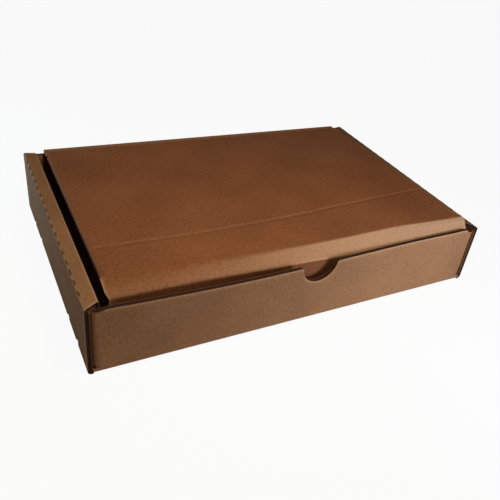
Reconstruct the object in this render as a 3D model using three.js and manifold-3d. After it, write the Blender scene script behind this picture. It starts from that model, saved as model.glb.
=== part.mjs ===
// A corrugated mailer box: one die-cut sheet folded into a tray with a hinged lid.
// The origin is at the middle of the underside, X runs along the box, the front wall faces -Y, +Z is up.
import * as THREE from "three";
import { mergeVertices } from "three/addons/utils/BufferGeometryUtils.js";
import Module from "manifold-3d";

// Board and the clearance that keeps two layers of it apart
const board = 3;
const slip = 0.3;
const foldOuter = 2.4;
const foldInner = 0.4;
const rollFold = 1.5;

// Outside of the closed tray
const boxLength = 303;
const boxWidth = 202;
const boxHeight = 50;

// Front wall: its top edge climbs to the right and bows out between the corners
const frontHeight = 47.7;
const frontRise = 1.7;
const frontBow = 3.4;
const bowPeak = -45;
const bowEnd = 100;
const wallShoulder = 6;

// Thumb notch in the front wall
const notchRadius = 13.7;
const notchAcross = 2.3;
const notchRise = 0.5;

// Rolled side walls: bevelled strip ends, locking tabs and the slots that hold them
const frontBevel = 5.6;
const backBevel = 2.2;
const lockTab = 32;
const lockTabTaper = 2;
const lockTabPlace = 60;
const reliefLength = 7;
const reliefHeight = 2.6;

// Slits of the perforated crease along each rolled edge
const slitLength = 5;
const slitWidth = 0.7;
const slitPitch = 10.6;
const slitMargin = 5;

// Corner tabs between the two layers of each side wall
const tabLength = 52;
const tabCorner = 10;

// Lid: its clearance to the inner layer at each side, and how its right side rides up
const lidLeftGap = 5.1;
const lidRightGap = 0.9;
const lidLift = 3.9;
const liftStart = -60;
const liftFront = 0.6;
const lidBackCut = 2.2;

// Front of the lid: a bevelled band and the tuck flap that leans inward from it
const bandDepth = 12.4;
const bandDrop = 4.9;
const tuckGap = 1.2;
const tuckDepth = 36;
const tuckLean = 3.3;
const tuckInset = 1.4;
const tuckCorner = 14;

// Side dust flaps of the lid
const dustDepth = 34;
const dustFront = -76;
const dustBack = 88;
const dustTaper = 8;
const dustCorner = 10;

// Longest facet edges where a panel is bent, steps of the arcs, how far a cutter passes its cut, and rounding
const wallFacet = 26;
const lidFacet = 40;
const outerSteps = 5;
const innerSteps = 2;
const arcSteps = 8;
const notchSteps = 40;
const past = 5;
const perMillimetre = 5000;

// Places that follow from the sizes above
const sideFace = boxLength / 2;
const endFace = boxWidth / 2;
const tabFace = sideFace - board - slip;
const innerFace = sideFace - 3 * board - 2 * slip;
const bowSpan = tabFace - board - wallShoulder;
const frontTop = frontHeight + frontRise;
const underStrip = boxHeight - board;
const wallEndTop = underStrip - slip;
const panelEnd = endFace - slip;
const innerEnd = endFace - board - slip;
const lidLeft = lidLeftGap - innerFace;
const lidRight = innerFace - lidRightGap;
const hingeY = endFace - board / 2;
const hingeZ = boxHeight;
const lidTop = hingeZ + board / 2;
const backTop = hingeZ - board / 2 - slip;
const tuckTop = lidTop - bandDrop;
const bandReach = endFace - board - tuckGap;

const wasm = await Module();
wasm.setup();

// Mesh in, solid out: positions are rounded so that flush faces meet, and shared corners are merged.
function solid(geometry) {
  const rounded = (v) => Math.round(v * perMillimetre) / perMillimetre;
  const bare = geometry.clone();
  bare.deleteAttribute("normal");
  bare.deleteAttribute("uv");
  const merged = mergeVertices(bare, 1 / perMillimetre);
  return new wasm.Manifold(
    new wasm.Mesh({
      numProp: 3,
      vertProperties: merged.attributes.position.array.map(rounded),
      triVerts: new Uint32Array(merged.index.array),
    }),
  );
}

// Points of the arc that rounds a corner between two directions, at an offset to the left of the path.
function roundedCorner(corner, before, after, offset, radius, steps) {
  const left = new THREE.Vector2(-before.y, before.x);
  const next = new THREE.Vector2(-after.y, after.x);
  const centre = left.clone().add(next).multiplyScalar(offset / (1 + left.dot(next))).add(corner);
  const turn = Math.atan2(before.cross(after), before.dot(after));
  return Array.from({ length: steps + 1 }, (_, i) =>
    left.clone().rotateAround(new THREE.Vector2(), (turn * i) / steps).multiplyScalar(-radius).add(centre),
  );
}

// Edge-on outline of a folded board: the path runs along its outer face, the thickness lies to its left.
function foldedBoard(path, outerRadii) {
  const corners = path.map(([u, v]) => new THREE.Vector2(u, v));
  const ways = corners.slice(1).map((p, i) => p.clone().sub(corners[i]).normalize());
  const last = ways.length - 1;
  const aside = (way) => new THREE.Vector2(-way.y, way.x).multiplyScalar(board);
  const outer = [corners[0]];
  const inner = [corners[0].clone().add(aside(ways[0]))];
  for (let i = 1; i <= last; i++) {
    const radius = outerRadii[i - 1];
    outer.push(...roundedCorner(corners[i], ways[i - 1], ways[i], radius, radius, outerSteps));
    const offset = board + foldInner;
    inner.push(...roundedCorner(corners[i], ways[i - 1], ways[i], offset, foldInner, innerSteps));
  }
  outer.push(corners[last + 1]);
  inner.push(corners[last + 1].clone().add(aside(ways[last])));
  return new THREE.Shape([...outer, ...inner.reverse()]);
}

// A profile drawn in Y and Z, carried along X.
function alongX(shape, from, to) {
  const geometry = new THREE.ExtrudeGeometry(shape, { depth: to - from, bevelEnabled: false });
  const turned = new THREE.Matrix4().set(0, 0, 1, from, 1, 0, 0, 0, 0, 1, 0, 0, 0, 0, 0, 1);
  return solid(geometry.applyMatrix4(turned));
}

// A profile drawn in X and Z, carried along Y.
function alongY(shape, from, to) {
  const geometry = new THREE.ExtrudeGeometry(shape, { depth: to - from, bevelEnabled: false });
  return solid(geometry.rotateX(Math.PI / 2).translate(0, to, 0));
}

// An outline drawn in X and Y, carried along Z.
function alongZ(shape, from, to) {
  const geometry = new THREE.ExtrudeGeometry(shape, { depth: to - from, bevelEnabled: false });
  return solid(geometry.translate(0, 0, from));
}

// A plain block between two corners.
function block(x0, x1, y0, y1, z0, z1) {
  const box = new THREE.BoxGeometry(x1 - x0, y1 - y0, z1 - z0);
  return solid(box.translate((x0 + x1) / 2, (y0 + y1) / 2, (z0 + z1) / 2));
}

// A closed outline through points, mirrored in its first coordinate where side is -1.
function outline(points, side = 1) {
  return new THREE.Shape(points.map(([u, v]) => new THREE.Vector2(side * u, v)));
}

// Quarter arc as points: centre, radius, and the angles in quarter turns where it starts and ends.
function quarter(u, v, radius, start, end) {
  return Array.from({ length: arcSteps + 1 }, (_, i) => {
    const angle = (Math.PI / 2) * (start + ((end - start) * i) / arcSteps);
    return [u + radius * Math.cos(angle), v + radius * Math.sin(angle)];
  });
}

// Base with the front and back walls folded up from it.
function baseAndWalls() {
  const profile = foldedBoard(
    [[-endFace, frontTop], [-endFace, 0], [endFace, 0], [endFace, backTop]],
    [foldOuter, foldOuter],
  );
  return alongX(profile, -tabFace, tabFace);
}

// One side wall rolled over: outer layer, top strip with bevelled ends, and inner layer.
function rolledSide(side) {
  const path = [
    [sideFace / 2, 0],
    [sideFace, 0],
    [sideFace, boxHeight],
    [innerFace, boxHeight],
    [innerFace, board + slip],
  ];
  const shape = foldedBoard(path, [foldOuter, rollFold, rollFold]);
  const points = shape.getPoints().map((p) => [p.x, p.y]);
  let wall = alongY(outline(points, side), -panelEnd, panelEnd);
  const cornerX = side * (sideFace - board);
  for (const end of [-1, 1]) {
    const outside = end * (endFace + past);
    const atWall = sorted(end * (endFace - board), outside);
    const atTab = sorted(end * innerEnd, outside);
    const layer = sorted(0, side * (innerFace + board + slip));
    const below = block(...sorted(0, cornerX), ...atWall, -past, underStrip);
    const inner = block(...layer, ...atTab, 0, underStrip);
    const bevel = end < 0 ? frontBevel : backBevel;
    const cut = outline([
      [side * (sideFace + past), end * (panelEnd + past)],
      [side * sideFace, end * panelEnd],
      [side * innerFace, end * (panelEnd - bevel)],
      [side * (innerFace - past), end * (panelEnd - bevel)],
      [side * (innerFace - past), end * (panelEnd + past)],
    ]);
    const bevelled = alongZ(cut, underStrip - past, boxHeight + past);
    const panel = sorted(cornerX, side * (sideFace + past));
    const keepPanel = block(...panel, ...sorted(0, outside), -past, underStrip);
    wall = wall.subtract(below).subtract(inner).subtract(bevelled.subtract(keepPanel));
  }
  return wall;
}

// Two numbers in rising order, for a block's limits.
function sorted(a, b) {
  return a < b ? [a, b] : [b, a];
}

// Cut outs of one side's locking tabs: a slot through the base, and a relief round the crease at each end.
function lockSlots(side) {
  const cuts = [];
  for (const place of [-lockTabPlace, lockTabPlace]) {
    const half = lockTab / 2 + slip;
    const across = sorted(side * (innerFace - slip), side * (innerFace + board + slip));
    cuts.push(block(...across, place - half, place + half, -past, board + past));
    for (const end of [-1, 1]) {
      const along = sorted(place + end * half, place + end * (half - reliefLength));
      const reach = sorted(side * innerFace, side * (sideFace + past));
      cuts.push(block(...reach, ...along, -past, reliefHeight));
    }
  }
  return cuts;
}

// Locking tabs that stand down from the inner layer into the slots of the base.
function lockTabs(side) {
  return [-lockTabPlace, lockTabPlace].map((place) => {
    const half = lockTab / 2;
    const shape = outline([
      [place - half, board + past],
      [place - half, board],
      [place - half + lockTabTaper, slip],
      [place + half - lockTabTaper, slip],
      [place + half, board],
      [place + half, board + past],
    ]);
    return alongX(shape, ...sorted(side * innerFace, side * (innerFace + board)));
  });
}

// Slits of one perforated crease, evenly spaced from the middle towards both ends.
function creaseSlits(side) {
  const each = Math.floor((panelEnd - slitMargin - slitLength / 2) / slitPitch);
  const across = sorted(side * (sideFace - slitWidth), side * (sideFace + past));
  const bottom = boxHeight - slitWidth - rollFold / 2;
  return Array.from({ length: 2 * each + 1 }, (_, i) => {
    const y = (i - each) * slitPitch;
    return block(...across, y - slitLength / 2, y + slitLength / 2, bottom, boxHeight + past);
  });
}

// Corner tab: it turns round the end of a wall and lies between the two layers of the side wall.
function cornerTab(side, end) {
  const path = [[-tabFace, tabLength - endFace], [-tabFace, -endFace], [-tabFace + 2 * board, -endFace]];
  const points = foldedBoard(path, [foldOuter])
    .getPoints()
    .map((p) => [-side * p.x, -end * p.y]);
  const bottom = board + slip;
  const free = endFace - tabLength;
  const face = outline([
    [-endFace - past, bottom],
    ...quarter(-free - tabCorner, bottom + tabCorner, tabCorner, -1, 0),
    ...quarter(-free - tabCorner, wallEndTop - tabCorner, tabCorner, 0, 1),
    [-endFace - past, wallEndTop],
  ], -end);
  return alongZ(outline(points), 0, boxHeight).intersect(alongX(face, ...sorted(0, side * boxLength)));
}

// What is cut from the front wall: the slope of its top edge, and its ends, which pass under the strips.
function frontTopCut() {
  const shoulder = (side, height) =>
    Array.from({ length: arcSteps + 1 }, (_, i) => {
      const share = i / arcSteps;
      const rise = (height - wallEndTop) * (0.5 + 0.5 * Math.cos(Math.PI * share));
      return [side * (bowSpan + share * wallShoulder), wallEndTop + rise];
    });
  const shape = outline([
    [-tabFace - past, wallEndTop],
    ...shoulder(-1, frontHeight).reverse(),
    ...shoulder(1, frontTop),
    [tabFace + past, wallEndTop],
    [tabFace + past, frontTop + past],
    [-tabFace - past, frontTop + past],
  ]);
  return alongY(shape, -endFace - past, -endFace + board + past);
}

// What is cut from the ends of the back wall, beside the lid's crease.
function backShoulder(side) {
  const inner = innerFace - slip;
  return block(
    ...sorted(side * inner, side * (tabFace + past)),
    endFace - board - past,
    endFace + past,
    wallEndTop,
    boxHeight + past,
  );
}

// Cut that rounds the outer top edge of the back wall, so that the lid can lie back past the level.
function backTopEase() {
  const radius = board / 2;
  const shape = outline([
    ...quarter(endFace - radius, backTop - radius, radius, 0, 1),
    [endFace - radius, backTop + past],
    [endFace + past, backTop + past],
    [endFace + past, backTop - radius],
  ]);
  return alongX(shape, -tabFace - past, tabFace + past);
}

// Thumb notch: a half-round bite out of the front wall's top edge.
function thumbNotch() {
  const height = frontHeightAt(notchAcross) - notchRise;
  const disc = new THREE.CylinderGeometry(notchRadius, notchRadius, board + 2 * past, notchSteps);
  return solid(disc.translate(notchAcross, -endFace + board / 2, height));
}

// Height of the front wall's top edge at a place along the box.
function frontHeightAt(x) {
  return THREE.MathUtils.mapLinear(x, -bowSpan, bowSpan, frontHeight, frontTop);
}

// How far the front wall's top edge stands out at a place along the box.
function bowAt(x) {
  if (x <= -bowSpan || x >= bowEnd) return 0;
  if (x < bowPeak) return frontBow * Math.sin((Math.PI / 2) * ((x + bowSpan) / (bowPeak + bowSpan)));
  return frontBow * Math.cos((Math.PI / 2) * ((x - bowPeak) / (bowEnd - bowPeak))) ** 2;
}

// The tray as it is folded, with straight walls.
function straightTray() {
  let tray = baseAndWalls().subtract(frontTopCut()).subtract(backTopEase());
  for (const side of [-1, 1]) {
    tray = tray.subtract(backShoulder(side)).add(rolledSide(side));
    for (const cut of [...lockSlots(side), ...creaseSlits(side)]) tray = tray.subtract(cut);
    for (const tab of lockTabs(side)) tray = tray.add(tab);
    for (const end of [-1, 1]) tray = tray.add(cornerTab(side, end));
  }
  return tray.subtract(thumbNotch());
}

// Halves every edge that is longer than its limit, and repeats until none is.
function refine(made, limitAt) {
  const mesh = made.getMesh();
  const points = [];
  for (let i = 0; i < mesh.numVert; i++) {
    points.push(new THREE.Vector3().fromArray(mesh.vertProperties, i * mesh.numProp));
  }
  let faces = [];
  for (let i = 0; i < mesh.triVerts.length; i += 3) faces.push([...mesh.triVerts.subarray(i, i + 3)]);
  for (let halved = true; halved; ) {
    const middles = new Map();
    const middleOf = (a, b) => {
      const key = a < b ? `${a},${b}` : `${b},${a}`;
      if (!middles.has(key)) {
        const middle = points[a].clone().lerp(points[b], 0.5);
        const long = points[a].distanceTo(points[b]) > limitAt(middle);
        middles.set(key, long ? points.push(middle) - 1 : -1);
      }
      return middles.get(key);
    };
    const before = points.length;
    faces = faces.flatMap((face) => splitFace(face, middleOf));
    halved = points.length > before;
  }
  return { points, faces };
}

// One face divided at those of its edges that have a middle point.
function splitFace([a, b, c], middleOf) {
  const [ab, bc, ca] = [middleOf(a, b), middleOf(b, c), middleOf(c, a)];
  const cuts = [ab, bc, ca].filter((m) => m >= 0).length;
  if (cuts === 0) return [[a, b, c]];
  if (cuts === 3) return [[a, ab, ca], [ab, b, bc], [ca, bc, c], [ab, bc, ca]];
  if (cuts === 1 && ab >= 0) return [[a, ab, c], [ab, b, c]];
  if (cuts === 2 && ab < 0) return [[c, ca, bc], [ca, a, bc], [a, b, bc]];
  return splitFace([b, c, a], middleOf);
}

// Geometry of a refined mesh whose points have been moved by a bend.
function bentGeometry({ points, faces }, bend) {
  for (const point of points) bend(point);
  const geometry = new THREE.BufferGeometry().setFromPoints(points);
  geometry.setIndex(faces.flat());
  geometry.computeVertexNormals();
  return geometry;
}

// Tray with the bow of its front wall.
function trayGeometry() {
  const fold = board + foldInner;
  const bows = (p) => p.y < 2 * board - endFace && p.z > fold && Math.abs(p.x) < bowSpan;
  const limitAt = (p) => (bows(p) ? wallFacet : Infinity);
  return bentGeometry(refine(straightTray(), limitAt), (p) => {
    if (bows(p)) p.y -= bowAt(p.x) * ((p.z - fold) / (frontTop - fold));
  });
}

// Lid panel: its back edge is rounded about the hinge line, its front is folded to the band and tuck flap.
function lidPanel() {
  const crease = bandDepth - bandReach;
  const profile = foldedBoard(
    [
      [hingeY, lidTop],
      [crease, lidTop],
      [-bandReach, tuckTop],
      [tuckLean - bandReach, tuckTop - tuckDepth],
    ],
    [foldOuter, foldOuter],
  );
  const bead = quarter(hingeY, hingeZ, board / 2, -1, 1);
  const sheet = profile.getPoints().map((p) => [p.x, p.y]);
  return alongX(outline([...bead, ...sheet.slice(1, -1)]), lidLeft, lidRight);
}

// What is cut from the end of the tuck flap: its inset and its rounded free corner.
function tuckCut(side) {
  const edge = side > 0 ? lidRight : -lidLeft;
  const bottom = tuckTop - tuckDepth;
  const shape = outline([
    [edge + past, lidTop - board / 2],
    [edge, lidTop - board / 2],
    [edge - tuckInset, tuckTop],
    ...quarter(edge - tuckInset - tuckCorner, bottom + tuckCorner, tuckCorner, 0, -1),
    [edge - tuckInset - tuckCorner, bottom - past],
    [edge + past, bottom - past],
  ], side);
  return alongY(shape, -bandReach - past, bandDepth - bandReach);
}

// Side dust flap: it folds down from the lid's edge, with tapered ends and rounded free corners.
function dustFlap(side) {
  const edge = side > 0 ? lidRight : -lidLeft;
  const bottom = lidTop - dustDepth;
  const path = [[-edge / 2, lidTop], [-edge, lidTop], [-edge, bottom]];
  const points = foldedBoard(path, [foldOuter])
    .getPoints()
    .map((p) => [-side * p.x, p.y]);
  const face = outline([
    [dustFront, lidTop + past],
    [dustFront, lidTop - 2 * board],
    ...quarter(dustFront + dustTaper + dustCorner, bottom + dustCorner, dustCorner, 2, 3),
    ...quarter(dustBack - dustTaper - dustCorner, bottom + dustCorner, dustCorner, 3, 4),
    [dustBack, lidTop - 2 * board],
    [dustBack, lidTop + past],
  ]);
  return alongY(outline(points), dustFront, dustBack).intersect(alongX(face, ...sorted(0, side * boxLength)));
}

// The lid as it is folded, lying flat.
function flatLid() {
  let lid = lidPanel();
  for (const side of [-1, 1]) {
    const edge = side > 0 ? lidRight : -lidLeft;
    const under = sorted(side * (edge - board), side * (edge + past));
    const edgeCut = block(...under, dustFront + slip, dustBack - slip, lidTop - 2 * board, lidTop + past);
    lid = lid.subtract(tuckCut(side)).subtract(edgeCut).add(dustFlap(side));
  }
  const nip = outline([
    [lidRight - lidBackCut, endFace + past],
    [lidRight - lidBackCut, hingeY],
    [lidRight, dustBack],
    [lidRight + past, dustBack],
    [lidRight + past, endFace + past],
  ]);
  return lid.subtract(alongZ(nip, lidTop - 2 * board, lidTop + past));
}

// How far the right side of the lid rides up at a place: nothing at the hinge, most past the middle.
function liftAt(x, y) {
  const across = THREE.MathUtils.smoothstep(x, liftStart, lidRight);
  const away = THREE.MathUtils.smoothstep(hingeY - y, 0, boxWidth / 2);
  const front = 1 - (1 - liftFront) * THREE.MathUtils.smoothstep(-y, 0, endFace);
  return lidLift * across * away * front;
}

// Lid with its right side riding up on the rolled wall.
function lidGeometry() {
  const limitAt = (p) => (p.x > liftStart ? lidFacet : Infinity);
  return bentGeometry(refine(flatLid(), limitAt), (p) => {
    p.z += liftAt(p.x, p.y);
  });
}

const kraft = new THREE.MeshStandardMaterial({ color: 0xa87c58, roughness: 0.9, metalness: 0 });
const lidKraft = new THREE.MeshStandardMaterial({ color: 0x9d7048, roughness: 0.9, metalness: 0 });

const box = new THREE.Group();
const tray = new THREE.Mesh(trayGeometry(), kraft);
tray.name = "tray";
const lid = new THREE.Mesh(lidGeometry(), lidKraft);
lid.name = "lid";
box.add(tray, lid);

export default box;
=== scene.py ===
import math

import bpy
import numpy as np
from mathutils import Matrix, Vector


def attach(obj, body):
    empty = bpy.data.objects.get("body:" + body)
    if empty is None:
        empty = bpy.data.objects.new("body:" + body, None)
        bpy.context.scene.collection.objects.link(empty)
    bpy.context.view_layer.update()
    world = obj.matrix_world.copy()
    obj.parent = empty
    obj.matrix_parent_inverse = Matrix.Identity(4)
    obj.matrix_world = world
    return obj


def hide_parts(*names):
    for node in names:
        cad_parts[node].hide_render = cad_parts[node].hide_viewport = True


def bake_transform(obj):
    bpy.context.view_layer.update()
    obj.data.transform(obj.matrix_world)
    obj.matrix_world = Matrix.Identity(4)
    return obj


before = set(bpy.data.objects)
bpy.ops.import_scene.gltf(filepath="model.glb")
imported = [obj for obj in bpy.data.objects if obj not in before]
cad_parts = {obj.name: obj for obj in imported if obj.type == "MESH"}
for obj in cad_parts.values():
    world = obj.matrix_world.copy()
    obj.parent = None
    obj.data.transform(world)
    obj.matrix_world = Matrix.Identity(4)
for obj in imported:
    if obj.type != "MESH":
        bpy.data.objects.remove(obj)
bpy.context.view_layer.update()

# Camera: it stands where the photograph was taken from, before the box and to its left, held at a slight tilt.
heading, dip, tilt = math.radians(34.234), math.radians(33.094), math.radians(9.601)
eye = Vector((-0.19812, -0.35412, 0.26803))
ahead = Vector((math.sin(heading) * math.cos(dip), math.cos(heading) * math.cos(dip), -math.sin(dip)))
level_right = Vector((math.cos(heading), -math.sin(heading), 0))
level_up = level_right.cross(ahead)
right = level_right * math.cos(tilt) + level_up * math.sin(tilt)
up = level_up * math.cos(tilt) - level_right * math.sin(tilt)
lens = bpy.data.cameras.new("camera")
lens.sensor_width = 36
lens.lens = 41.73
lens.shift_x = -0.0754
lens.shift_y = -0.0096
lens.clip_start = 0.01
camera = bpy.data.objects.new("camera", lens)
camera.matrix_world = Matrix((right, up, -ahead)).transposed().to_4x4()
camera.location = eye
bpy.context.scene.collection.objects.link(camera)
bpy.context.scene.camera = camera
bpy.context.scene.view_settings.view_transform = "Standard"


# Lamps: a small cool one low at the right front, whose narrow beam rakes the front wall, a small warm one high in
# front, and weak ones at the left and far behind, so that no side is lost in the dark. None shows in the picture.
def area_lamp(name, place, target, width, height, watts, colour, spread=180.0):
    """A soft lamp: a glowing rectangle turned from its place to its target, with a beam of spread degrees."""
    lamp = bpy.data.lights.new(name, "AREA")
    lamp.color = colour
    lamp.shape = "RECTANGLE"
    lamp.size = width
    lamp.size_y = height
    lamp.energy = watts
    lamp.spread = math.radians(spread)
    holder = bpy.data.objects.new(name, lamp)
    holder.location = place
    holder.rotation_euler = (Vector(target) - Vector(place)).to_track_quat("-Z", "Y").to_euler()
    holder.visible_camera = False
    bpy.context.scene.collection.objects.link(holder)


area_lamp("low_right", (0.20, -0.42, 0.09), (0.08, -0.10, 0.03), 0.12, 0.10, 0.27, (0.70, 0.78, 1), 70.0)
area_lamp("high_front", (-0.06, -0.17, 0.36), (-0.05, -0.05, 0.04), 0.1, 0.1, 0.9, (1, 0.88, 0.74))
area_lamp("low_left", (-0.33, 0.26, 0.06), (-0.15, 0.05, 0.03), 0.1, 0.06, 0.5, (0.44, 0.72, 1))
area_lamp("far_back", (0.4, 1.8, 0.07), (0, 0.1, 0.03), 0.6, 0.2, 7.0, (1, 1, 1))


# World: a soft even light on the box, and plain white where the camera and reflections look.
def add_node(tree, kind, settings, sockets):
    """Adds one node with its settings and fills its sockets: an output is linked, a value is set."""
    node = tree.nodes.new(kind)
    for name, value in settings.items():
        setattr(node, name, value)
    for name, value in sockets.items():
        if isinstance(value, bpy.types.NodeSocket):
            tree.links.new(value, node.inputs[name])
        else:
            node.inputs[name].default_value = value
    return node


world = bpy.data.worlds.new("studio")
world.use_nodes = True
tree = world.node_tree
tree.nodes.clear()
path = add_node(tree, "ShaderNodeLightPath", {}, {})
looked = add_node(tree, "ShaderNodeMath", {"operation": "MAXIMUM"},
                  {0: path.outputs["Is Camera Ray"], 1: path.outputs["Is Glossy Ray"]})
shown = add_node(tree, "ShaderNodeMath", {"operation": "MAXIMUM"},
                 {0: looked.outputs[0], 1: path.outputs["Is Transmission Ray"]})
soft = add_node(tree, "ShaderNodeBackground", {}, {"Color": (1, 1, 1, 1), "Strength": 0.05})
white = add_node(tree, "ShaderNodeBackground", {}, {"Color": (1, 1, 1, 1), "Strength": 1.0})
sky = add_node(tree, "ShaderNodeMixShader", {}, {0: shown.outputs[0], 1: soft.outputs[0], 2: white.outputs[0]})
add_node(tree, "ShaderNodeOutputWorld", {}, {"Surface": sky.outputs[0]})
bpy.context.scene.world = world

# Floor: a plain white table top that keeps the shadow of the box.
floor_reach = 6.0
floor_drop = -0.0003
floor_glow = 0.94
floor_corners = [(-1, -1), (1, -1), (1, 1), (-1, 1)]
floor_mesh = bpy.data.meshes.new("floor")
floor_points = [(floor_reach * x, floor_reach * y, floor_drop) for x, y in floor_corners]
floor_mesh.from_pydata(floor_points, [], [(0, 1, 2, 3)])
floor = bpy.data.objects.new("floor", floor_mesh)
bpy.context.scene.collection.objects.link(floor)
white_table = bpy.data.materials.new("white_table")
white_table.use_nodes = True
tree = white_table.node_tree
tree.nodes.clear()
path = add_node(tree, "ShaderNodeLightPath", {}, {})
share = add_node(tree, "ShaderNodeMath", {"operation": "MULTIPLY"},
                 {0: path.outputs["Is Camera Ray"], 1: floor_glow})
matt = add_node(tree, "ShaderNodeBsdfDiffuse", {}, {"Color": (0.75, 0.75, 0.75, 1)})
glow = add_node(tree, "ShaderNodeEmission", {}, {"Color": (1, 1, 1, 1), "Strength": 1.0})
table = add_node(tree, "ShaderNodeMixShader", {}, {0: share.outputs[0], 1: matt.outputs[0], 2: glow.outputs[0]})
add_node(tree, "ShaderNodeOutputMaterial", {}, {"Surface": table.outputs[0]})
floor_mesh.materials.append(white_table)

# Base with the front and back walls: the middle of the box's one die-cut sheet of corrugated board, two kraft liners
# glued to a waved sheet whose flutes run along the box, creased and folded up with no glue. The front wall bows out
# where the lid's tuck flap pushes it, and slots in the base hold the side walls' locking tabs. Sizes are in mm.
mm = 0.001
board = 3.0
slip = 0.3
fold_outer = 2.4
fold_inner = 0.4
seam = board + fold_inner + 0.2
flute_pitch = 6.4
flute_swing = 0.3
flute_depth = 0.6
liner_share = 0.14
paper_share = 0.07
rub_reach = 0.8
arc_steps = 8


def folded(corners, radii, divisions):
    """Edge-on course of folded board: outer and inner face point for point, length run, and share of bend.

    The outer face runs from corner to corner and the board lies to its left. Each straight is divided evenly. A corner
    with a radius is an arc, of that radius outside and fold_inner inside; a radius of 0 is a plain point."""
    corners = np.array(corners, float)
    ways = np.diff(corners, axis=0)
    ways /= np.linalg.norm(ways, axis=1)[:, None]
    lefts = np.stack([-ways[:, 1], ways[:, 0]], 1)
    faces = [[corners[:1]], [corners[:1] + board * lefts[:1]]]
    bends = [np.zeros(1)]
    for i, count in enumerate(divisions):
        last = i == len(radii)
        spread = np.linspace(0, 1, count + 1)[1:, None]
        radius = 0.0 if last else radii[i]
        turn = 0.0 if last else math.atan2(
            ways[i][0] * ways[i + 1][1] - ways[i][1] * ways[i + 1][0], ways[i] @ ways[i + 1])
        steps = arc_steps if radius else 0
        angle = turn * np.linspace(0, 1, steps + 1)[:, None]
        spokes = np.cos(angle) * lefts[i] - np.sin(angle) * ways[i]
        both = lefts[i] if last else (lefts[i] + lefts[i + 1]) / (1 + lefts[i] @ lefts[i + 1])
        for face, depth, bend in ((faces[0], radius, radius), (faces[1], board + fold_inner, fold_inner)):
            if radius:
                arc = corners[i + 1] + both * depth - spokes * bend
            else:
                arc = corners[i + 1][None] + (0 if face is faces[0] else board) * both
            start = face[-1][-1]
            face.append(np.concatenate([start + (arc[0] - start) * spread, arc[1:]]))
        bends += [np.zeros(count), np.sin(np.pi * np.linspace(0, 1, steps + 1))[1:]]
    outer, inner = (np.concatenate(face) for face in faces)
    middle = (outer + inner) / 2
    run = np.concatenate([[0], np.cumsum(np.linalg.norm(np.diff(middle, axis=0), axis=1))])
    return outer, inner, run, np.concatenate(bends)


def smooth(x, start, end):
    """Smooth step: 0 before start, 1 after end, and 3t^2-2t^3 between."""
    t = np.clip((x - start) / (end - start), 0, 1)
    return t * t * (3 - 2 * t)


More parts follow.
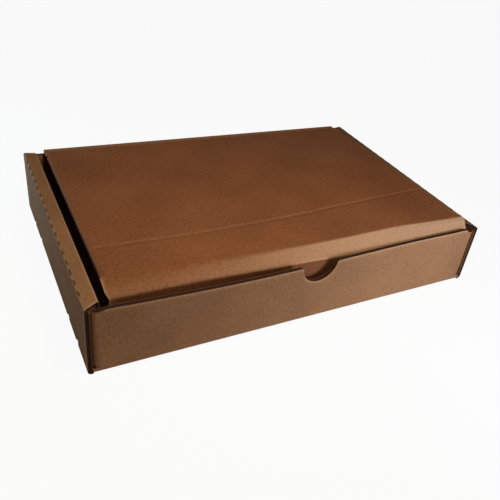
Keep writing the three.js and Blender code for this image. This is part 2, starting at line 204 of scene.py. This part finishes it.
def board_piece(name, sheets, material):
    """One object made of closed sheets of board, each given as outer and inner face on the same grid.

    Every sheet is (outer, inner, across, wear): two grids of points, the place across the flutes, and how worn each
    point is, with painted highlight added on and painted shade taken off. The cut edge is a strip round the grid: the
    liners stand proud, and between them the edge is set back by flute_depth, except where the waved paper is, at half
    the thickness plus flute_swing times the sine of the place across the flutes. The map "sheet" holds the places
    along and across the flutes, and "cut" grows with the depth, which paints shade down in the flutes."""
    points, quads, flats, cuts, wear_and_painted_light_parts = [], [], [], [], []
    levels = np.array([0.03, liner_share, liner_share + 0.02, 0.22, 0.32, 0.41, 0.5, 0.59, 0.68, 0.78,
                       0.98 - liner_share, 1 - liner_share, 0.97])
    base = 0
    for outer, inner, across, wear_and_painted_light in sheets:
        rows, columns = outer.shape[:2]
        count = rows * columns
        u = np.concatenate([np.arange(rows - 1), np.full(columns - 1, rows - 1),
                            np.arange(rows - 1, 0, -1), np.zeros(columns - 1, int)])
        v = np.concatenate([np.zeros(rows - 1, int), np.arange(columns - 1),
                            np.full(rows - 1, columns - 1), np.arange(columns - 1, 0, -1)])
        top, under = outer[u, v], inner[u, v]
        tangent = np.roll(top, -1, 0) - np.roll(top, 1, 0)
        away = np.cross(tangent, top - under)
        away /= np.linalg.norm(away, axis=1)[:, None]
        wave = 0.5 + flute_swing * np.sin(2 * np.pi * across[u, v] / flute_pitch)
        hollow = np.abs(levels - 0.5) < 0.49 - liner_share
        paper = np.exp(-(((levels[None] - wave[:, None]) / paper_share) ** 2))
        depth = flute_depth * hollow[None] * (1 - paper)
        edge = top[:, None] + (under - top)[:, None] * levels[None, :, None]
        edge = edge - away[:, None] * depth[..., None]
        ring = len(u)
        grid = np.arange(count).reshape(rows, columns)
        ids = np.concatenate([grid[u, v][:, None], 2 * count + np.arange(ring * len(levels)).reshape(ring, -1),
                              count + grid[u, v][:, None]], 1)
        face = np.stack([grid[:-1, :-1], grid[1:, :-1], grid[1:, 1:], grid[:-1, 1:]], -1).reshape(-1, 4)
        after = np.roll(ids, -1, 0)
        rim = np.stack([ids[:, :-1], ids[:, 1:], after[:, 1:], after[:, :-1]], -1).reshape(-1, 4)
        quads.append(base + np.concatenate([face, face[:, ::-1] + count, rim]))
        points += [outer.reshape(-1, 3), inner.reshape(-1, 3), edge.reshape(-1, 3)]
        way = int(np.ptp(across[:, 0]) > np.ptp(across[0]))
        steps = np.linalg.norm(np.diff(outer, axis=way), axis=2)
        along = np.cumsum(np.insert(steps, 0, 0, axis=way), axis=way)
        along = along - np.take(along, [outer.shape[way] // 2], axis=way)
        flat = np.stack([along, across], -1)
        rim_flat = np.repeat(flat[u, v][:, None], len(levels), 1) + levels[None, :, None] * board
        flats += [flat.reshape(-1, 2), flat.reshape(-1, 2), rim_flat.reshape(-1, 2)]
        # The cut value grows with the depth down in the flutes, where the material paints shade.
        cuts += [np.zeros(2 * count), (0.25 + 0.75 * depth / flute_depth).reshape(-1)]
        wear_and_painted_light_parts += [wear_and_painted_light.reshape(-1), 0.5 * wear_and_painted_light.reshape(-1), np.zeros(ring * len(levels))]
        base += 2 * count + ring * len(levels)
    mesh = bpy.data.meshes.new(name)
    mesh.from_pydata(np.concatenate(points) * mm, [], np.concatenate(quads))
    corner_places = np.concatenate(flats)[np.concatenate(quads).reshape(-1)] * mm
    layer = mesh.uv_layers.new(name="sheet")
    layer.data.foreach_set("uv", corner_places.astype(np.float32).reshape(-1))
    for title, values in (("cut", cuts), ("wear_and_painted_light", wear_and_painted_light_parts)):
        attribute = mesh.attributes.new(title, "FLOAT", "POINT")
        attribute.data.foreach_set("value", np.concatenate(values).astype(np.float32))
    mesh.shade_smooth()
    mesh.set_sharp_from_angle(angle=math.radians(38))
    mesh.materials.append(material)
    piece = bpy.data.objects.new(name, mesh)
    bpy.context.scene.collection.objects.link(piece)
    return piece


def edge_wear(points, bend):
    """Wear of a sheet: it fades over about 1 mm from each cut edge, and over each crease it follows the bend."""
    ends = [np.linalg.norm(points - points[[0]], axis=2), np.linalg.norm(points - points[[-1]], axis=2),
            np.linalg.norm(points - points[:, [0]], axis=2), np.linalg.norm(points - points[:, [-1]], axis=2)]
    return np.maximum(np.exp(-np.min(ends, axis=0) / rub_reach), bend)


def spaced(start, end, step, extra=()):
    """Even places from start to end, closer at both ends, with extra places put in."""
    close = np.array([0.4, 1.0, 2.0])
    even = np.linspace(start + 3.5, end - 3.5, max(2, int((end - start) / step)))
    return np.unique(np.round(np.concatenate([[start, end], start + close, end - close, even, extra]), 4))


def linear(hex_colour):
    """An sRGB hex colour made linear: each channel c becomes c/12.92, or ((c+0.055)/1.055)^2.4 above 0.04045."""
    channels = [int(hex_colour[i : i + 2], 16) / 255 for i in (1, 3, 5)]
    return [c / 12.92 if c <= 0.04045 else ((c + 0.055) / 1.055) ** 2.4 for c in channels] + [1.0]


# Patterns of the paper, in mm: how large its clouds, its mottling and its fibres are, and how high its ribs and grain.
cloud_size = 45.45
mottle_size = 2.083
fibre_length = 2.632
fibre_width = 0.6667
rib_height = 0.008
grain_height = 0.03


def kraft_board(name, dark, light, pale_tint, core, painted_shade_brown):
    """Unbleached kraft board: dull brown paper, cloudy and finely mottled, with fibres drawn along the flutes.

    The colour goes from dark to light by the sum of three noises. Where the wear value is below nothing it turns to a
    near black brown, which is painted shade; where it is above it turns to the pale tint, which is real wear and, on
    the lid's band and along its crease, a painted highlight. Where the board is cut it turns to core, and down in the
    flutes, by their depth, to the near black brown again, a painted shade. The bump is a sine across the flutes, which
    press through the liner, with the grain of the paper on it. The scale of each noise is 1 over the size of its
    pattern in metres."""
    material = bpy.data.materials.new(name)
    material.use_nodes = True
    tree = material.node_tree
    shader = tree.nodes["Principled BSDF"]
    shader.inputs["Roughness"].default_value = 0.82
    shader.inputs["Specular IOR Level"].default_value = 0.06
    place = add_node(tree, "ShaderNodeUVMap", {"uv_map": "sheet"}, {}).outputs["UV"]
    cloud = add_node(tree, "ShaderNodeTexNoise", {},
                     {"Vector": place, "Scale": 1 / (cloud_size * mm), "Detail": 3.0})
    mottle = add_node(tree, "ShaderNodeTexNoise", {},
                      {"Vector": place, "Scale": 1 / (mottle_size * mm), "Detail": 3.0})
    drawn = add_node(tree, "ShaderNodeMapping", {},
                     {"Vector": place, "Scale": (1 / (fibre_length * mm), 1 / (fibre_width * mm), 1.0)})
    fibre = add_node(tree, "ShaderNodeTexNoise", {}, {"Vector": drawn.outputs[0], "Scale": 1.0, "Detail": 2.0})
    tone = 0.0
    for noise, part in ((cloud, 0.35), (mottle, 0.5), (fibre, 0.15)):
        layer = add_node(tree, "ShaderNodeMapRange", {},
                         {"Value": noise.outputs[0], "From Min": 0.3, "From Max": 0.7, "To Max": part})
        tone = add_node(tree, "ShaderNodeMath", {"operation": "ADD"}, {0: layer.outputs[0], 1: tone}).outputs[0]

    wear_and_painted_light = add_node(tree, "ShaderNodeAttribute", {"attribute_name": "wear_and_painted_light"}, {}).outputs["Fac"]
    cut = add_node(tree, "ShaderNodeAttribute", {"attribute_name": "cut"}, {}).outputs["Fac"]
    patches = add_node(tree, "ShaderNodeMapRange", {},
                       {"Value": mottle.outputs[0], "From Min": -0.6, "From Max": 0.6})
    rub_and_highlight = add_node(tree, "ShaderNodeMath", {"operation": "MULTIPLY"}, {0: wear_and_painted_light, 1: patches.outputs[0]}).outputs[0]
    colour = linear(dark)
    # Painted shade below nothing and down in the flutes; the pale tint is real wear and painted highlight.
    for tint, amount, none, full in ((light, tone, 0.0, 1.0), (painted_shade_brown, wear_and_painted_light, 0.0, -1.0),
                                     (pale_tint, rub_and_highlight, 0.0, 1.0), (core, cut, 0.0, 0.25), (painted_shade_brown, cut, 0.3, 1.25)):
        share = add_node(tree, "ShaderNodeMapRange", {}, {"Value": amount, "From Min": none, "From Max": full})
        colour = add_node(tree, "ShaderNodeMix", {"data_type": "RGBA"},
                          {0: share.outputs[0], 6: colour, 7: linear(tint)}).outputs[2]
    tree.links.new(colour, shader.inputs["Base Color"])

    across = add_node(tree, "ShaderNodeSeparateXYZ", {}, {"Vector": place}).outputs["Y"]
    phase = add_node(tree, "ShaderNodeMath", {"operation": "MULTIPLY"},
                     {0: across, 1: 2 * math.pi / (flute_pitch * mm)})
    ribs = add_node(tree, "ShaderNodeMath", {"operation": "SINE"}, {0: phase.outputs[0]})
    grain = add_node(tree, "ShaderNodeMath", {"operation": "ADD"}, {0: mottle.outputs[0], 1: fibre.outputs[0]})
    rough = add_node(tree, "ShaderNodeMath", {"operation": "MULTIPLY"}, {0: grain.outputs[0], 1: grain_height * mm})
    height = add_node(tree, "ShaderNodeMath", {"operation": "MULTIPLY_ADD"},
                      {0: ribs.outputs[0], 1: rib_height * mm, 2: rough.outputs[0]})
    bump = add_node(tree, "ShaderNodeBump", {}, {"Strength": 1.0, "Distance": 1.0, "Height": height.outputs[0]})
    tree.links.new(bump.outputs[0], shader.inputs["Normal"])
    return material


# The tray's liner: matt kraft of a plain middle brown, pale where it is worn, and turning near black where shade is
# painted: down in the flutes, in the slits and on the right strip's top.
tray_kraft = kraft_board("tray_kraft", "#745237", "#9a704b", "#b98f68", "#50372a", "#22120a")

side_face = 151.5
end_face = 101.0
tab_face = side_face - board - slip
inner_face = side_face - 3 * board - 2 * slip
box_height = 50.0
front_height = 47.7
front_rise = 1.7
front_top = front_height + front_rise
front_bow = 3.4
bow_peak = -45.0
bow_end = 100.0
bow_foot = 3.4
wall_end_top = box_height - board - slip
bow_span = tab_face - board - 6.0
end_ease = 5.0
draw_in_from = 126.0
back_top = 48.05
notch_radius = 13.7
notch_across = 2.3
notch_rise = 0.5
notch_shoulder = 0.8
shoulder_run = 1.6
tab_foot = 4.2
turn_outer = 3.9
tab_seam = turn_outer + 0.3
lock_tab = 32.0
lock_place = 60.0
relief_length = 7.0
half_slot = lock_tab / 2 + slip
slot_pit = 2.9
relief_pit = 2.6


def front_edge(x):
    """Height of the front wall: a slope from left to right, eased down to the corner tabs at both ends."""
    slope = front_height + front_rise * (x + bow_span) / (2 * bow_span)
    ends = smooth(np.abs(x), bow_span - 1.0, bow_span + end_ease)
    return slope + (wall_end_top - slope) * ends


def notched_edge(x):
    """The front wall's height with a half circle bitten out, its shoulders rounded off."""
    height = front_edge(x)
    side = np.abs(x - notch_across)
    centre = front_edge(np.array(notch_across)) - notch_rise
    bite = centre - np.sqrt(np.maximum(notch_radius**2 - side**2, 0))
    shoulder = notch_shoulder * (1 - smooth(side, notch_radius, notch_radius + shoulder_run))
    return np.where(side < notch_radius, np.minimum(bite, height), height - shoulder)


def bow(x, z):
    """How far the front wall stands out: a quarter sine up to the peak, a squared cosine down, growing with height."""
    rise = np.sin(np.pi / 2 * (x + bow_span) / (bow_peak + bow_span))
    fall = np.cos(np.pi / 2 * (x - bow_peak) / (bow_end - bow_peak)) ** 2
    swell = np.where(x < bow_peak, rise, fall) * ((x > -bow_span) & (x < bow_end))
    return front_bow * swell * np.maximum(z - bow_foot, 0) / (front_top - bow_foot)


def within(value, low, high):
    """1 where the value lies between low and high, else 0."""
    return ((value > low) & (value < high)).astype(float)


def relief_cuts(y):
    """Above 0 in the short cuts at both ends of each locking tab's slot, which free the fold beside it."""
    place = np.abs(y)
    near, far = lock_place - half_slot, lock_place + half_slot
    return within(place, near, near + relief_length) + within(place, far - relief_length, far)


notch_places = notch_across - (notch_radius - 0.001) * np.cos(np.linspace(0, np.pi, 41))
slot_places = np.array([inner_face - slip, inner_face, inner_face + board + slip])
slot_places = np.concatenate([slot_places, slot_places - 0.05])
end_places = np.linspace(bow_span, bow_span + end_ease, 6)
base_columns = spaced(-side_face + seam, side_face - seam, 4.0, np.concatenate(
    [notch_places, [notch_across - notch_radius - 1.2, notch_across + notch_radius + 1.2], slot_places, -slot_places,
     end_places, -end_places]))
row_places = lock_place + np.array([-half_slot, relief_length - half_slot, half_slot - relief_length, half_slot])
row_places = np.sort(np.concatenate([row_places - 0.03, row_places + 0.03]))
base_path = [(-end_face, front_top), (-end_face, tab_foot), (-end_face, tab_foot - 0.3), (-end_face, 0)]
base_path += [(y, 0) for y in np.concatenate([-row_places[::-1], row_places])]
base_path += [(end_face, 0), (end_face, tab_foot - 0.3), (end_face, tab_foot), (end_face, back_top)]
base_radii = [0, 0, fold_outer] + [0] * 16 + [fold_outer, 0, 0]
base_divisions = [56, 1, 1, 6] + [1, 3, 1, 6, 1, 3, 1, 12, 1, 3, 1, 6, 1, 3, 1] + [6, 1, 1, 30]
outer, inner, run, bend = folded(base_path, base_radii, base_divisions)


def walls_grid(face):
    """The base's course carried along X: its ends draw in where corner tabs take over, and the front wall takes its
    height and bow."""
    x, y = np.meshgrid(base_columns, face[:, 0])
    z = np.repeat(face[:, 1:], len(base_columns), 1)
    is_wall = z >= tab_foot - 0.01
    narrow = is_wall * (side_face - seam - tab_face + tab_seam)
    x = x - np.sign(x) * narrow * np.clip((np.abs(x) - draw_in_from) / (side_face - seam - draw_in_from), 0, 1)
    front = is_wall & (y < 0)
    z = np.where(front, tab_foot + (z - tab_foot) * (notched_edge(x) - tab_foot) / (front_top - tab_foot), z)
    y = y - np.where(y < 0, bow(x, z), 0)
    return np.stack([x, y, z], -1)


base_outer, base_inner = walls_grid(outer), walls_grid(inner)
flat_y = np.abs(base_outer[..., 1])
flat_x = np.abs(base_outer[..., 0])
slot_hole = within(flat_x, inner_face - slip - 0.01, inner_face + board + slip) * within(
    flat_y, lock_place - half_slot - 0.01, lock_place + half_slot + 0.01)
relief = (flat_x > inner_face - 0.01) & (relief_cuts(flat_y) > 0)
is_base = base_outer[..., 2] < 0.01
base_outer[..., 2] += is_base * np.maximum(slot_pit * slot_hole, relief_pit * relief)
across = np.repeat((run - run[len(run) // 2])[:, None], len(base_columns), 1)
at_tabs = (base_outer[..., 2] > tab_foot - 0.5) & (flat_x > bow_span + 1.0)
wear_and_painted_light = edge_wear(base_outer, 0.3 * bend[:, None]) * ~at_tabs
base_and_walls = board_piece("base_and_walls", [(base_outer, base_inner, across, wear_and_painted_light)], tray_kraft)
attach(base_and_walls, "tray")
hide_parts("tray")

# Corner tabs: flaps of the same board at both ends of the front and back walls. Each turns round its corner and is
# held between the two layers of the side wall, with no glue.
tab_length = 52.0
tab_corner = 10.0
tab_plain = 12.0
tab_path = [(-tab_face, tab_length - end_face), (-tab_face, -end_face), (tab_seam - tab_face, -end_face)]
outer, inner, run, bend = folded(tab_path, [turn_outer], [30, 1])
tab_sheets = []
tab_heights = np.linspace(0, 1, 24)
rounding = tab_corner - np.sqrt(tab_corner**2 - np.maximum(tab_corner - run, 0) ** 2)
tab_z = tab_foot + rounding[:, None] + (wall_end_top - tab_foot - 2 * rounding[:, None]) * tab_heights
for side in (-1, 1):
    for end in (-1, 1):
        grids = []
        for face in (outer, inner):
            x = np.repeat(-side * face[:, :1], len(tab_heights), 1)
            y = np.repeat(-end * face[:, 1:], len(tab_heights), 1)
            grids.append(np.stack([x, y, tab_z], -1))
        tab_wear = edge_wear(grids[0], 0.0) * (run < run[-1] - tab_plain)[:, None]
        order = slice(None, None, side * end)
        tab_sheets.append((grids[0][:, order], grids[1][:, order], tab_z[:, order], tab_wear[:, order]))
corner_tabs = board_piece("corner_tabs", tab_sheets, tray_kraft)
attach(corner_tabs, "tray")
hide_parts("tray")

# Rolled side walls of the same board: the outer layer stands up from the base, turns over in a narrow flat strip and
# comes down inside, where two tabs lock into the base. The outer crease is perforated, so short slits show along it,
# painted dark inside as painted shade. The right strip's top is painted a darker brown, a painted shade, and it is
# cut back further at its front than the left.
roll_fold = 1.5
roll_ease = 8.0
panel_end = end_face - slip
inner_end = end_face - board - slip
front_bevel = 5.6
right_bevel = 13.0
back_bevel = 2.2
slit_length = 5.0
slit_pitch = 10.6
slit_depth = 0.7
slit_count = 8
# How dark the slits and the right strip's top are painted: painted shade.
slit_shade_strength = 0.7
strip_shade_strength = 0.4
lock_reach = 2.99
lock_shoulder = 4.0
side_path = [(side_face - seam, 0), (side_face, 0), (side_face, box_height), (inner_face, box_height),
             (inner_face, board + slip)]
outer, inner, run, bend = folded(side_path, [fold_outer, roll_fold, roll_fold], [1, 16, 6, 20])
slit_places = slit_pitch * np.arange(-slit_count, slit_count + 1)
slit_ends = np.concatenate([slit_places - slit_length / 2, slit_places + slit_length / 2])
tab_ends = np.concatenate([lock_place + s * np.array([14.0, 16.0, 16.05]) for s in (-1, 1)])
side_columns = spaced(-panel_end, panel_end, 4.0, np.concatenate(
    [slit_ends, slit_ends - 0.3, slit_ends + 0.3, slit_places, tab_ends, -tab_ends, row_places, -row_places]))
top_fold = (outer[:, 0] > side_face - roll_fold - 0.01) & (outer[:, 1] > box_height - roll_fold - 0.01)
bottom_fold = outer[:, 1] < fold_outer + 0.01
on_strip = np.clip((side_face - outer[:, 0]) / (side_face - inner_face), 0, 1)
on_strip = on_strip * (outer[:, 1] > box_height - roll_ease)
inside = (outer[:, 0] < inner_face + roll_fold) * smooth(box_height - outer[:, 1], 0.0, roll_ease)
back_y = panel_end - back_bevel * on_strip * (1 - inside) - (panel_end - inner_end) * inside


def side_grid(face, side):
    """The side wall's course carried along Y between its two ends, with the locking tabs let down below the edge."""
    bevel = front_bevel if side < 0 else right_bevel
    front_y = -panel_end + bevel * on_strip * (1 - inside) + (panel_end - inner_end) * inside
    share = (side_columns + panel_end) / (2 * panel_end)
    y = front_y[:, None] + (back_y - front_y)[:, None] * share
    x = np.repeat(side * face[:, :1], len(side_columns), 1)
    z = np.repeat(face[:, 1:], len(side_columns), 1)
    from_tab = np.abs(np.abs(side_columns) - lock_place)
    reach = lock_reach * (1 - smooth(from_tab, lock_tab / 2 - 0.1, lock_tab / 2 + 0.1))
    shoulder = box_height - lock_shoulder
    low = np.clip((shoulder - z) / (shoulder - board - slip), 0, 1) * (inside > 0)[:, None]
    return np.stack([x, y, z - low * reach], -1)


side_sheets = []
for side in (-1, 1):
    side_outer, side_inner = side_grid(outer, side), side_grid(inner, side)
    y = side_outer[..., 1]
    slit = np.zeros_like(y)
    for place in slit_places:
        slit = np.maximum(slit, 1 - smooth(np.abs(y - place), slit_length / 2 - 0.15, slit_length / 2 + 0.15))
    slit *= (top_fold * np.clip(2.2 * bend - 1.1, 0, 1))[:, None]
    pit = slit * slit_depth + (relief_cuts(y) > 0) * bottom_fold[:, None] * relief_pit
    inward = side_inner - side_outer
    inward /= np.linalg.norm(inward, axis=2)[..., None]
    side_outer += inward * pit[..., None]
    pale_tint = edge_wear(side_outer, 0.5 * bend[:, None]) * (1 - slit) * (side < 0)
    # Painted shade: the right strip's top is darkened, and so are the slits.
    painted_strip_shade = strip_shade_strength * (side > 0) * (side_outer[..., 2] > box_height - 0.2)
    side_wear_and_shade = pale_tint - np.maximum(slit_shade_strength * slit, painted_strip_shade)
    side_across = np.repeat(y[:1], len(run), 0)
    order = slice(None, None, -side)
    side_sheets.append((side_outer[:, order], side_inner[:, order], side_across[:, order], side_wear_and_shade[:, order]))
side_walls = board_piece("side_walls", side_sheets, tray_kraft)
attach(side_walls, "tray")
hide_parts("tray")

# Lid: the same sheet again, creased along the back wall, with a bevelled band at its front and a tuck flap down inside
# the front wall. Its right side rides up on the rolled wall, and a faint crease runs across it, with a painted
# highlight just behind it and a painted shade just in front. The band's fold is crisp at the right and rolls over
# softly at the left, and the band is painted pale, a painted highlight, strongly at the right and faintly at the left.
# Its liner is painted a deeper, redder brown than the tray's, though it is the same board: a painted shade on the top.
shaded_lid_kraft = kraft_board("shaded_lid_kraft", "#683f25", "#925d39", "#b18c69", "#50352a", "#24120a")
lid_left = -136.8
lid_right = 141.0
lid_top = 51.5
hinge_y = 99.5
crease_y = -84.4
fold_y = -96.8
tuck_top = 46.6
tuck_end = 10.6
tuck_lean = 3.3
lift = 3.9
dust_front = -76.0
dust_back = 88.0
band_fold = 1.4
tuck_fold = 2.0
soft_band_fold = 14.0
soft_tuck_fold = 3.0
crisp_start = -110.0
crisp_end = 50.0
tuck_corner = 14.0
tuck_inset = 1.4
back_nip = 2.2
draw_in_reach = 40.0
overhang = 3.2
crease_run = 4.0
lid_columns = spaced(lid_left, lid_right, 3.5)
lid_stops = (hinge_y, dust_back + 0.05, dust_back - 0.05, dust_front + 0.05, dust_front - 0.05)
lid_rows = [(y, lid_top) for y in lid_stops]
crisp_path = lid_rows + [(crease_y, lid_top), (fold_y, tuck_top), (fold_y + tuck_lean, tuck_end)]
soft_path = lid_rows + [(crease_y + 3.0, lid_top), (fold_y + 5.2, tuck_top + 1.2), (fold_y + 4.6, tuck_end)]
lid_divisions = [12, 1, 180, 1, 4, 14, 46]
crisp = folded(crisp_path, [0, 0, 0, 0, band_fold, tuck_fold], lid_divisions)
soft = folded(soft_path, [0, 0, 0, 0, soft_band_fold, soft_tuck_fold], lid_divisions)
crisp_share = smooth(lid_columns, crisp_start, crisp_end)


def lid_lift(x, y):
    """How far the lid's right side rides up: nothing at the hinge, most past the middle, less towards the front."""
    front = 1 + 0.15 * smooth(-y, 0, 50.0) - 0.45 * smooth(-y, 60.0, 92.0)
    return lift * smooth(x, -60.0, lid_right) * smooth(hinge_y - y, 0, end_face) * front


def crease_line(x):
    """Where the faint crease runs across the lid: a slow wave about a straight line."""
    return -46.5 + 2.0 * np.sin((x - 60.0) / 60.0)


def lid_set(x, y):
    """The set of the panel itself: a shallow crease line across it, and slow waves of a third of a millimetre."""
    line = crease_line(x)
    dent = -0.35 * np.exp(-(((y - line) / 1.1) ** 2)) + 0.12 * np.exp(-(((y - line - 2.6) / 1.3) ** 2))
    dip = -0.5 * smooth(line - y, 0, 40.0)
    waves = 0.3 * np.sin(x / 31.0 + 0.6) * np.sin(y / 37.0 + 1.0) + 0.12 * np.sin(x / 13.0 + y / 21.0)
    quiet = smooth(hinge_y - y, 0, 25.0) * smooth(y, -100.0, -60.0)
    return (dent + dip + waves * quiet) * (y < hinge_y)


def lid_grid(k):
    """The lid's course carried along X, crisp or softly rolled by place, with its ends drawn in where flaps begin."""
    share = crisp_share[None, :, None]
    course = share * crisp[k][:, None] + (1 - share) * soft[k][:, None]
    y, z = course[..., 0], course[..., 1]
    x = np.repeat(lid_columns[None], len(y), 0)
    flap_room = seam * within(crisp[k][:, :1], dust_front, dust_back) * (crisp[k][:, 1:] > 40)
    drop = np.clip(z - tuck_end, 0, tuck_corner)
    corner = tuck_corner - np.sqrt(tuck_corner**2 - (tuck_corner - drop) ** 2)
    left_in = np.maximum(flap_room, tuck_inset * smooth(-z, -50.0, -tuck_top) + corner)
    nip = back_nip * np.clip((crisp[k][:, :1] - dust_back) / (hinge_y - dust_back), 0, 1)
    right_in = np.maximum(left_in, nip)
    from_left = np.clip(1 - (x - lid_left) / draw_in_reach, 0, 1) ** 2
    from_right = np.clip(1 - (lid_right - x) / draw_in_reach, 0, 1) ** 2
    x = x + left_in * from_left - right_in * from_right
    return np.stack([x, y, z], -1)


def raised(points):
    """Points of the lid lifted by its ride-up and its own set; its front right corner reaches out over the side wall,
    and the crease there runs forward."""
    x, y, z = points[..., 0], points[..., 1], points[..., 2]
    over = overhang * smooth(-y, 0.1 - dust_front, 7 - dust_front) * smooth(x, 101.0, lid_right)
    over = over * smooth(z, 43.5, 46.5)
    ahead = crease_run * smooth(x, 70.0, lid_right) * smooth(-y, 60.0, -crease_y)
    ahead = ahead * (1 - smooth(-y, 86.0, 96.0)) * (z > 44)
    return points + np.stack([over, -ahead, lid_lift(x, y) + lid_set(x, y)], -1)


lid_outer, lid_inner = raised(lid_grid(0)), raised(lid_grid(1))
across = crisp[2][:, None] * crisp_share + soft[2][:, None] * (1 - crisp_share)
crispness = smooth(lid_columns, crisp_start, 70.0)
# Painted highlight on the bevelled band: pale on the crisp facet at the right, faint on the soft roll at the left.
soft_band_highlight = 0.2 * smooth(-lid_outer[..., 1], 80.0, 91.0)
crisp_band_highlight = smooth(-crisp[0][:, :1], -crease_y - 0.6, 0.4 - crease_y)
painted_band_highlight = (lid_outer[..., 2] > tuck_top - 0.5) * (crispness * crisp_band_highlight + (1 - crispness) * soft_band_highlight)
beside_flaps = (within(crisp[0][:, 0], dust_front - 1.0, dust_back + 1.0) * (crisp[0][:, 1] > 40))[:, None]
near_sides = np.minimum(lid_columns - lid_left, lid_right - lid_columns) < 5.0
# Painted highlight just behind the faint crease and painted shade just in front, added to the wear value.
off_line = lid_outer[..., 1] - crease_line(lid_outer[..., 0])
line = 0.13 * np.exp(-(((off_line - 1.3) / 1.1) ** 2)) - 0.16 * np.exp(-(((off_line + 0.6) / 0.9) ** 2))
wear_and_painted_light = np.maximum(edge_wear(lid_outer, 0.0) * (1 - beside_flaps * near_sides), painted_band_highlight) + line
lid_sheet = (lid_outer, lid_inner, across, wear_and_painted_light)

# Side dust flaps: stretches of the lid's board that fold down from its edges inside the tray, with tapered ends and
# rounded corners. They are part of the lid's piece, and the left one leans in, which leaves the gap beside it black.
dust_depth = 34.0
dust_taper = 8.0
dust_lean = 8.5
dust_corner = 10.0
dust_columns = np.linspace(0, 1, 90)
dust_sheets = []
for side in (-1, 1):
    edge = lid_right if side > 0 else -lid_left
    lean = dust_lean * (side < 0)
    path = [(seam - edge, lid_top), (-edge, lid_top), (lean - edge, lid_top - dust_depth)]
    outer, inner, run, bend = folded(path, [fold_outer], [2, 40])
    drop = np.clip(lid_top - 2 * board - outer[:, 1], 0, None)
    taper = dust_taper * drop / (dust_depth - 2 * board)
    from_end = outer[:, 1] - lid_top + dust_depth
    corner = dust_corner - np.sqrt(dust_corner**2 - np.clip(dust_corner - from_end, 0, dust_corner) ** 2)
    flap_front = dust_front + taper + corner
    flap_back = dust_back - taper - corner
    grids = []
    for face in (outer, inner):
        x = np.repeat(-side * face[:, :1], len(dust_columns), 1)
        y = flap_front[:, None] + (flap_back - flap_front)[:, None] * dust_columns
        z = np.repeat(face[:, 1:], len(dust_columns), 1)
        grids.append(raised(np.stack([x, y, z], -1)))
    flap_wear = edge_wear(grids[0], 0.15 * bend[:, None]) * (run > 0.5)[:, None]
    order = slice(None, None, side)
    dust_sheets.append((grids[0][:, order], grids[1][:, order], grids[0][:, order][..., 1], flap_wear[:, order]))
lid_panel = board_piece("lid_panel", [lid_sheet] + dust_sheets, shaded_lid_kraft)
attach(lid_panel, "lid")
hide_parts("lid")

# Hinge crease: the outer liner runs on unbroken from the back wall over the scored crease into the lid, and bends
# there when the lid turns; this strip of it is shaped round the crease as the box lies closed, from wall to lid.
liner = 0.3
crease_radius = 1.62
crease_turns = np.linspace(0, np.pi / 2, 13)
crease_course = np.concatenate([
    [[end_face + 0.02, 43.0], [end_face + 0.12, 46.0]],
    np.stack([hinge_y + crease_radius * np.cos(crease_turns), box_height + crease_radius * np.sin(crease_turns)], 1),
    [[hinge_y - 2.5, lid_top + 0.12], [hinge_y - 4.5, lid_top + 0.02]],
])
crease_columns = np.linspace(lid_left + 0.5, lid_right - 2.6, 60)
ways = np.gradient(crease_course, axis=0)
ways /= np.linalg.norm(ways, axis=1)[:, None]
crease_under = crease_course + liner * np.stack([-ways[:, 1], ways[:, 0]], 1)
crease_grids = []
for face in (crease_course, crease_under):
    x, y = np.meshgrid(crease_columns, face[:, 0])
    crease_grids.append(np.stack([x, y, np.repeat(face[:, 1:], len(crease_columns), 1)], -1))
crease_wear = np.full(crease_grids[0].shape[:2], 0.3)
crease_sheet = (crease_grids[0], crease_grids[1], crease_grids[0][..., 2], crease_wear)
# The crease strip takes the lid's darker copy of the kraft, a painted shade.
hinge_crease = board_piece("hinge_crease", [crease_sheet], shaded_lid_kraft)
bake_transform(hinge_crease)
